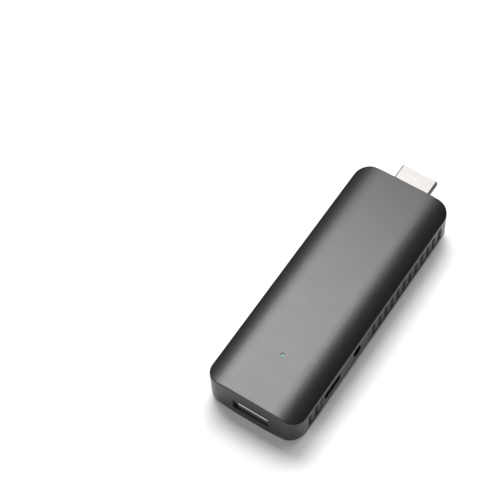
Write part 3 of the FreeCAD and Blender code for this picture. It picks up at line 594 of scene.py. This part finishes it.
def add_tab(shape, low, high, axis, end, width, climb):
    """A flat terminal that runs down one end of a moulded part to the board, and its solder."""
    middle = (low + high) / 2
    face = end_of(low, high, axis, end)
    tab_low, tab_high = low.copy(), high.copy()
    tab_low[axis], tab_high[axis] = sorted((face - end * TAB / 2, face + end * TAB))
    tab_low[1 - axis] = middle[1 - axis] - width / 2
    tab_high[1 - axis] = middle[1 - axis] + width / 2
    tab_high.z = low.z + climb
    add_block(shape, tab_low, tab_high, rounding=TAB / 4)
    add_fillet(shape, tab_low, tab_high, axis, end, foot=3 * TAB, rise=WETTED * climb)


def add_leads(shape, low, high, axis, end, count, pitch, width, reach, rise):
    """A row of bent leads along one side of a chip: out at the rise, down, and out again along the board."""
    face = end_of(low, high, axis, end)
    middle = (low + high) / 2
    sheet = min(LEAD_SHEET, rise)
    top_side = [(-0.1, rise), (0.4, rise), (0.6, sheet), (1.0, sheet)]
    under_side = [(1.0, 0.0), (0.45, 0.0), (0.3, rise - sheet), (-0.1, rise - sheet)]
    for across in row(middle[1 - axis], count, pitch):
        outline = []
        # The first and last points lie a little inside the chip
        for out, height in top_side + under_side:
            corner = moved(low, axis, face + end * out * reach, low.z + height)
            corner[1 - axis] = across - width / 2
            outline.append(corner)
        add_prism(shape, outline, along(1 - axis, width))


def add_pads(shape, node, count, pitch):
    """The solder lands that show along all four sides of a flat chip."""
    low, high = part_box(node)
    middle = (low + high) / 2
    half_width = 0.25 * pitch
    for axis in (X, Y):
        for end in (-1, 1):
            face = end_of(low, high, axis, end)
            for across in row(middle[1 - axis], count, pitch):
                pad_low, pad_high = low.copy(), low.copy()
                pad_low[axis], pad_high[axis] = sorted((face - end * TAB, face + end * 1.5 * TAB))
                pad_low[1 - axis] = across - half_width
                pad_high[1 - axis] = across + half_width
                pad_high.z = low.z + TAB
                add_block(shape, pad_low, pad_high, rounding=TAB / 4)


def chip_terminals():
    """Tinned ends of the chip capacitors, chip resistors and the status light."""
    shape = bmesh.new()
    for node, axis in (("chip_capacitors", Y), ("chip_resistors", X), ("status_led", X)):
        for low, high in solid_boxes(node):
            for end in (-1, 1):
                add_terminal(shape, low, high, axis, end, reach=0.24 * MM, foot=0.18 * MM)
    new_piece("chip_terminals", shape, SOLDER)


def power_terminals():
    """Tabs of the bulk capacitors, the coils and the diode, and the lands of the flat chips."""
    shape = bmesh.new()
    for node, axis, width, climb in (
        ("bulk_capacitors", X, 2.2 * MM, 0.9 * MM),
        ("power_inductors", Y, 1.8 * MM, 1.0 * MM),
        ("inlet_diode", Y, 1.5 * MM, 1.1 * MM),
    ):
        for low, high in solid_boxes(node):
            for end in (-1, 1):
                add_tab(shape, low, high, axis, end, width, climb)
    for node in ("power_chip", "radio_chip"):
        add_pads(shape, node, count=8, pitch=0.5 * MM)
    new_piece("power_terminals", shape, SOLDER)


def chip_leads():
    """Bent leads of the USB power switch, and the short ones of the HDMI protection chips."""
    shape = bmesh.new()
    low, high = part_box("usb_power_switch")
    switch_lead = {"width": 0.4 * MM, "reach": 0.6 * MM, "rise": 0.6 * MM}
    add_leads(shape, low, high, Y, -1, count=3, pitch=0.95 * MM, **switch_lead)
    add_leads(shape, low, high, Y, 1, count=2, pitch=1.9 * MM, **switch_lead)
    short_lead = {"width": 0.22 * MM, "reach": 0.25 * MM, "rise": 0.15 * MM}
    for low, high in solid_boxes("hdmi_protection_chips"):
        for end in (-1, 1):
            add_leads(shape, low, high, Y, end, count=5, pitch=0.5 * MM, **short_lead)
    new_piece("chip_leads", shape, SOLDER)


def connector_solder():
    """Solder at the tails of the contacts, the inlet's shell and the cover of the reset switch."""
    shape = bmesh.new()
    board_low, board_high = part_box("main_board")
    board_middle = (board_low.z + board_high.z) / 2
    for low, high in solid_boxes("hdmi_plug_contacts"):
        up = 1 if low.z > board_middle else -1
        add_fillet(shape, low, high, Y, -1, foot=0.35 * MM, rise=0.4 * MM, up=up)
    for low, high in solid_boxes("usb_socket_contacts"):
        low.z = board_high.z
        add_fillet(shape, low, high, Y, 1, foot=0.5 * MM, rise=high.z - low.z)
    for low, high in solid_boxes("power_inlet_contacts"):
        add_fillet(shape, low, high, X, -1, foot=0.4 * MM, rise=0.15 * MM)
    margin = 0.3 * MM
    for node in ("power_inlet_shell", "reset_switch_cover"):
        low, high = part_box(node)
        high.x = min(high.x, board_high.x - margin)
        for end in (-1, 1):
            add_fillet(shape, low, high, Y, end, foot=0.35 * MM, rise=0.5 * MM)
    new_piece("connector_solder", shape, SOLDER)


# ---- the board's own surface ----


def add_track(shape, points, width=SIGNAL_TRACK):
    """A copper track on top of the main board."""
    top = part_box("main_board")[1].z
    add_ribbon(shape, points, width, top, top + TRACK_HEIGHT)


def add_plug_tracks(shape):
    """From the plug's upper tails to the protection chips, on to the resistors and then the processor."""
    board_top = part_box("main_board")[1].z
    contacts = solid_boxes("hdmi_plug_contacts")
    tails = [(low + high) / 2 for low, high in contacts if low.z > board_top - MICRON]
    plug_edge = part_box("hdmi_plug_contacts")[0].y
    guard_low, guard_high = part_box("hdmi_protection_chips")
    clearance = 0.3 * MM
    for tail in tails:
        add_track(shape, [(tail.x, plug_edge - 0.1 * MM), (tail.x, guard_high.y + clearance)])

    lanes = 8
    lane_pitch = 0.25 * MM
    half_gap = 0.42 * MM
    half_resistor = 0.4 * MM
    straight = 1.6 * MM
    processor_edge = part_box("processor")[1].y
    memory_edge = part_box("memory_chip_first")[1].y
    turn = memory_edge + 1.2 * MM
    resistors = sorted(solid_boxes("chip_resistors"), key=lambda solid: solid[0].x)
    near_plug = [(low + high) / 2 for low, high in resistors if low.y > memory_edge][:lanes]
    for offset, resistor in zip(row(0.0, lanes, lane_pitch), near_plug):
        lane = offset + math.copysign(half_gap, offset)
        out = resistor.y - half_resistor
        route = [(resistor.x, out), (resistor.x, out - straight), (lane, turn), (lane, processor_edge)]
        add_track(shape, route)
        add_track(shape, [(resistor.x, resistor.y + half_resistor), (resistor.x, guard_low.y - clearance)])


def add_usb_tracks(shape):
    """The USB pair, round the status light towards the processor, and the wide feed to the power switch."""
    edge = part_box("usb_socket_contacts")[1].y + 0.2 * MM
    led_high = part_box("status_led")[1]
    past_led = led_high.x + 0.6 * MM
    above_led = led_high.y + 1.5 * MM
    short_of_processor = 6.6 * MM
    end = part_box("processor")[0].y - short_of_processor
    tail = 1.0 * MM
    first_bend = 1.0 * MM
    second_bend = 1.4 * MM
    for side, lane in ((-1, 0.1 * MM), (1, 0.5 * MM)):
        route = [
            (side * tail, edge),
            (side * past_led, edge + first_bend),
            (side * past_led, above_led),
            (lane, above_led + second_bend),
            (lane, end),
        ]
        add_track(shape, route)

    switch_low, switch_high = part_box("usb_power_switch")
    power_tail = -3.5 * MM
    bend = 0.6 * MM
    lead = 0.6 * MM
    feed = switch_high.x - 0.5 * MM
    route = [(power_tail, edge), (feed, edge + bend), (feed, switch_low.y - lead)]
    add_track(shape, route, width=0.9 * MM)


def add_supply_tracks(shape):
    """From the power inlet by way of the diode to the power chip, and beside the coils to the same chip."""
    inlet_low, inlet_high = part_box("power_inlet_contacts")
    inlet_middle = (inlet_low.y + inlet_high.y) / 2
    diode_low, diode_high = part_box("inlet_diode")
    supply = (diode_low.x + diode_high.x) / 2
    clearance = 0.3 * MM
    bend = 1.2 * MM
    chip_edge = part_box("power_chip")[0].y - clearance
    route = [(inlet_low.x - clearance, inlet_middle), (supply, inlet_middle + bend), (supply, diode_low.y)]
    add_track(shape, route, width=1.0 * MM)
    add_track(shape, [(supply, diode_high.y), (supply, chip_edge)], width=1.6 * MM)

    coil_low, coil_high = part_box("power_inductors")
    beside = coil_high.x + 0.7 * MM
    add_track(shape, [(beside, coil_low.y), (beside, chip_edge)], width=0.8 * MM)


def add_aerial_track(shape):
    """The radio's line to the second aerial, beside the coils and round the power chip."""
    radio_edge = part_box("radio_board")[1].y
    chip_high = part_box("power_chip")[1]
    aerial_low, aerial_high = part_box("wifi_aerial_second")
    feed = (aerial_low.x + aerial_high.x) / 2
    radio_exit = -5.0 * MM
    past_radio = radio_edge + 1.4 * MM
    beside_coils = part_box("power_inductors")[0].x - 0.6 * MM
    past_chip = chip_high.y + 0.95 * MM
    slant = 3.5 * MM
    jog = 1.2 * MM
    last_bend = 0.7 * MM
    route = [
        (radio_exit, radio_edge),
        (radio_exit, past_radio),
        (beside_coils, past_radio),
        (beside_coils, past_chip - slant),
        (beside_coils + slant, past_chip),
        (chip_high.x, past_chip),
        (chip_high.x + jog, past_chip + jog),
        (feed - last_bend, past_chip + jog),
        (feed, past_chip + jog + last_bend),
        (feed, aerial_low.y),
    ]
    add_track(shape, route, width=0.3 * MM)


def board_tracks():
    """Copper tracks under the solder mask, from the connectors and the radio to the chips."""
    shape = bmesh.new()
    add_plug_tracks(shape)
    add_usb_tracks(shape)
    add_supply_tracks(shape)
    add_aerial_track(shape)
    new_piece("board_tracks", shape, MASKED_COPPER)


def ring_section(inner, outer, slope):
    """A thin gold ring with sloping rims."""
    return [(inner, 0.0), (outer, 0.0), (outer - slope, GILT), (inner + slope, GILT)]


def board_rings():
    """Gold rings round the screws under the board, and plated holes along its edges, clear of the ports."""
    shape = bmesh.new()
    board_low, board_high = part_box("main_board")
    for low, high in solid_boxes("board_screws"):
        middle = (low + high) / 2
        head = (high.x - low.x) / 2
        section = ring_section(inner=head + 0.1 * MM, outer=head + 0.7 * MM, slope=0.05 * MM)
        add_turned(shape, (middle.x, middle.y, board_low.z), (0, 0, -1), section)

    ports_low, ports_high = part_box("port_panel")
    section = ring_section(inner=0.12 * MM, outer=0.27 * MM, slope=0.02 * MM)
    from_edge = 0.4 * MM
    first = 8 * MM
    pitch = 3 * MM
    count = 26
    for side in (-1, 1):
        for index in range(count):
            place = board_low.y + first + index * pitch
            if side < 0 or not ports_low.y < place < ports_high.y:
                centre = (side * (board_high.x - from_edge), place, board_high.z)
                add_turned(shape, centre, (0, 0, 1), section, steps=12)
    new_piece("board_rings", shape, MATERIALS["contact_gold"])


# ---- marks and embossing ----


def chip_marks():
    """A fine moulded ring with a hollow middle, at the first corner of each bare chip."""
    shape = bmesh.new()
    hollow = 0.2 * GILT
    for node, radius, down in (
        ("power_chip", 0.3 * MM, False),
        ("radio_chip", 0.3 * MM, False),
        ("usb_power_switch", 0.2 * MM, False),
        ("flash_chip", 0.5 * MM, True),
    ):
        low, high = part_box(node)
        inset = 2.5 * radius
        place = (low.x + inset, low.y + inset, low.z if down else high.z)
        section = [(0.0, hollow), (0.8 * radius, hollow), (radius, GILT), (1.2 * radius, 0.0), (0.0, 0.0)]
        add_turned(shape, place, (0, 0, -1 if down else 1), section, closed=False)
    new_piece("chip_marks", shape, MATERIALS["chip_resistor"])


def capacitor_bands():
    """The pale band that marks one end of each bulk capacitor."""
    shape = bmesh.new()
    near_edge = 0.5 * MM
    far_edge = 1.0 * MM
    margin = 0.1 * MM
    for low, high in solid_boxes("bulk_capacitors"):
        band_low = (low.x + near_edge, low.y + margin, high.z - GILT)
        band_high = (low.x + far_edge, high.y - margin, high.z + GILT / 2)
        add_block(shape, band_low, band_high, rounding=GILT / 2)
    new_piece("capacitor_bands", shape, PALE_INK)


def coil_wells():
    """The round pressed rim on top of each coil."""
    shape = bmesh.new()
    height = 3 * GILT
    for low, high in solid_boxes("power_inductors"):
        middle = (low + high) / 2
        outer = 0.36 * (high.x - low.x)
        crest = [(outer - 0.1 * MM, height), (outer - 0.25 * MM, height)]
        section = [(outer, 0.0), *crest, (outer - 0.3 * MM, 0.0)]
        add_turned(shape, (middle.x, middle.y, high.z), (0, 0, 1), section, steps=36)
    new_piece("coil_wells", shape, MATERIALS["inductor_ferrite"])


def add_lid_frame(shape, low, high, down):
    """The pressed frame on a shield can's lid, which is its top or, where down is true, its underside."""
    inset = 1.0 * MM
    width = 0.35 * MM
    left, right = low.x + inset, high.x - inset
    front, back = low.y + inset, high.y - inset
    bottom, top = (low.z - EMBOSS, low.z) if down else (high.z, high.z + EMBOSS)
    corners = ((left, front), (right, front), (right, back), (left, back))
    for index, corner in enumerate(corners):
        following = corners[(index + 1) % len(corners)]
        add_ribbon(shape, (corner, following), width, bottom, top)


def add_catches(shape, low, high, pitch):
    """Small round catches along the four walls of a shield can."""
    shoulder = 0.12 * MM
    foot = 0.22 * MM
    section = [(0.0, EMBOSS), (shoulder, 0.8 * EMBOSS), (foot, 0.0), (0.0, 0.0)]
    height = low.z + 0.6 * (high.z - low.z)
    for axis in (X, Y):
        count = int((high[1 - axis] - low[1 - axis] - pitch) / pitch)
        middle = ((low + high) / 2)[1 - axis]
        for end in (-1, 1):
            for across in row(middle, count, pitch):
                place = moved(low, axis, end_of(low, high, axis, end), height)
                place[1 - axis] = across
                add_turned(shape, place, along(axis, end), section, closed=False, steps=10)


def can_embossing():
    """A pressed frame on the lid of each shield can, and the catches along its walls."""
    shape = bmesh.new()
    for node, pitch, down in (("radio_shield_can", 1.8 * MM, False), ("lower_shield_can", 3.0 * MM, True)):
        low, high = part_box(node)
        add_lid_frame(shape, low, high, down)
        add_catches(shape, low, high, pitch)
    new_piece("can_embossing", shape, MATERIALS["plated_steel"])


def plug_seam():
    """The dovetailed joint of the plug shell, bent up from one sheet, on its underside."""
    shape = bmesh.new()
    low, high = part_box("hdmi_plug_shell")
    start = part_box("upper_housing")[1].y + 0.1 * MM
    end = high.y - 0.2 * MM
    step = (end - start) / 5
    tooth = 0.7 * MM
    width = 0.08 * MM
    line = [
        (0.0, start),
        (0.0, start + 2 * step),
        (tooth, start + 1.8 * step),
        (tooth, start + 3.2 * step),
        (0.0, start + 3 * step),
        (0.0, end),
    ]
    add_ribbon(shape, line, width, low.z - GILT / 2, low.z + GILT)
    new_piece("plug_seam", shape, DARK_LINE)


def reset_cap_rim():
    """A fine raised rim on the reset cap's face, which moves with it."""
    shape = bmesh.new()
    low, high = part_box("reset_button")
    middle = (low + high) / 2
    inner = 1.55 * MM
    crest = 1.75 * MM
    outer = 1.8 * MM
    section = [(inner, -GILT), (inner, 2 * GILT), (crest, 2 * GILT), (outer, -GILT)]
    add_turned(shape, (high.x, middle.y, middle.z), (1, 0, 0), section, steps=40)
    new_piece("reset_cap_rim", shape, MATERIALS["button_plastic"], body="reset_button")


def add_details():
    chip_terminals()
    power_terminals()
    chip_leads()
    connector_solder()
    board_tracks()
    board_rings()
    chip_marks()
    capacitor_bands()
    coil_wells()
    can_embossing()
    plug_seam()
    reset_cap_rim()


# ---- stage, light and camera ----


def white_floor():
    """Matt white paper with faint clouds."""
    shader = Shader.named("white_floor")
    clouds = shader.spread(shader.noise(40.0), 0.0, 1.0)
    tone = shader.mix(clouds, grey(0.99 * FLOOR_WHITE), grey(FLOOR_WHITE))
    shader.set(Base_Color=tone, Roughness=0.9, Specular_IOR_Level=0.1)
    return shader.material


def add_floor():
    """A pale floor that reaches past the edges of the view."""
    shape = bmesh.new()
    bmesh.ops.create_grid(shape, x_segments=12, y_segments=12, size=FLOOR_HALF)
    mesh = bpy.data.meshes.new("floor")
    shape.to_mesh(mesh)
    shape.free()
    mesh.materials.append(white_floor())
    floor = bpy.data.objects.new("floor", mesh)
    bpy.context.scene.collection.objects.link(floor)


def add_lamp(name, place, width, depth, power):
    """A rectangular soft light facing the stick."""
    data = bpy.data.lights.new(name, "AREA")
    data.shape = "RECTANGLE"
    data.size = width
    data.size_y = depth
    data.energy = power
    lamp = bpy.data.objects.new(name, data)
    lamp.location = place
    lamp.rotation_euler = Vector(place).to_track_quat("Z", "Y").to_euler()
    bpy.context.scene.collection.objects.link(lamp)
    return lamp


def add_lamps():
    """Six lamps. The softbox and its gloss card face straight down, and the others face the stick."""
    softbox = add_lamp("softbox", *SOFTBOX)
    gloss_card = add_lamp("gloss_card", *GLOSS_CARD)
    for lamp in (softbox, gloss_card):
        lamp.rotation_euler = (0.0, 0.0, 0.0)
    rim_card = add_lamp("rim_card", *RIM_CARD)
    for card in (gloss_card, rim_card):
        card.visible_diffuse = False
    for name, settings in (("back_lamp", BACK_LAMP), ("right_lamp", RIGHT_LAMP)):
        add_lamp(name, *settings).visible_glossy = False
    add_lamp("front_lamp", *FRONT_LAMP)


def add_dome():
    """Dim even light from all round, and the pale backdrop that the camera sees beyond the floor."""
    world = bpy.data.worlds.new("studio")
    world.use_nodes = True
    tree = world.node_tree
    light = tree.nodes["Background"]
    light.inputs["Color"].default_value = grey(DOME)
    backdrop = tree.nodes.new("ShaderNodeBackground")
    backdrop.inputs["Color"].default_value = grey(BACKDROP)
    choice = tree.nodes.new("ShaderNodeMixShader")
    tree.links.new(tree.nodes.new("ShaderNodeLightPath").outputs["Is Camera Ray"], choice.inputs["Fac"])
    tree.links.new(light.outputs["Background"], choice.inputs[1])
    tree.links.new(backdrop.outputs["Background"], choice.inputs[2])
    tree.links.new(choice.outputs["Shader"], tree.nodes["World Output"].inputs["Surface"])
    bpy.context.scene.world = world


def add_camera():
    """A long lens that looks down on the port side and the USB end, a little rolled."""
    data = bpy.data.cameras.new("camera")
    data.lens = CAMERA_LENS
    data.sensor_width = CAMERA_SENSOR
    data.sensor_fit = "HORIZONTAL"
    data.clip_start = 0.01
    data.clip_end = 20.0
    camera = bpy.data.objects.new("camera", data)
    turn = Matrix.Rotation(math.radians(CAMERA_AZIMUTH), 4, "Z")
    tilt = Matrix.Rotation(math.radians(90.0 - CAMERA_ELEVATION), 4, "X")
    roll = Matrix.Rotation(math.radians(CAMERA_ROLL), 4, "Z")
    camera.matrix_world = Matrix.Translation(CAMERA_PLACE) @ turn @ tilt @ roll
    bpy.context.scene.collection.objects.link(camera)
    bpy.context.scene.camera = camera


paint_cad_nodes()
add_details()
add_floor()
add_lamps()
add_dome()
add_camera()
bpy.context.scene.view_settings.view_transform = "Standard"
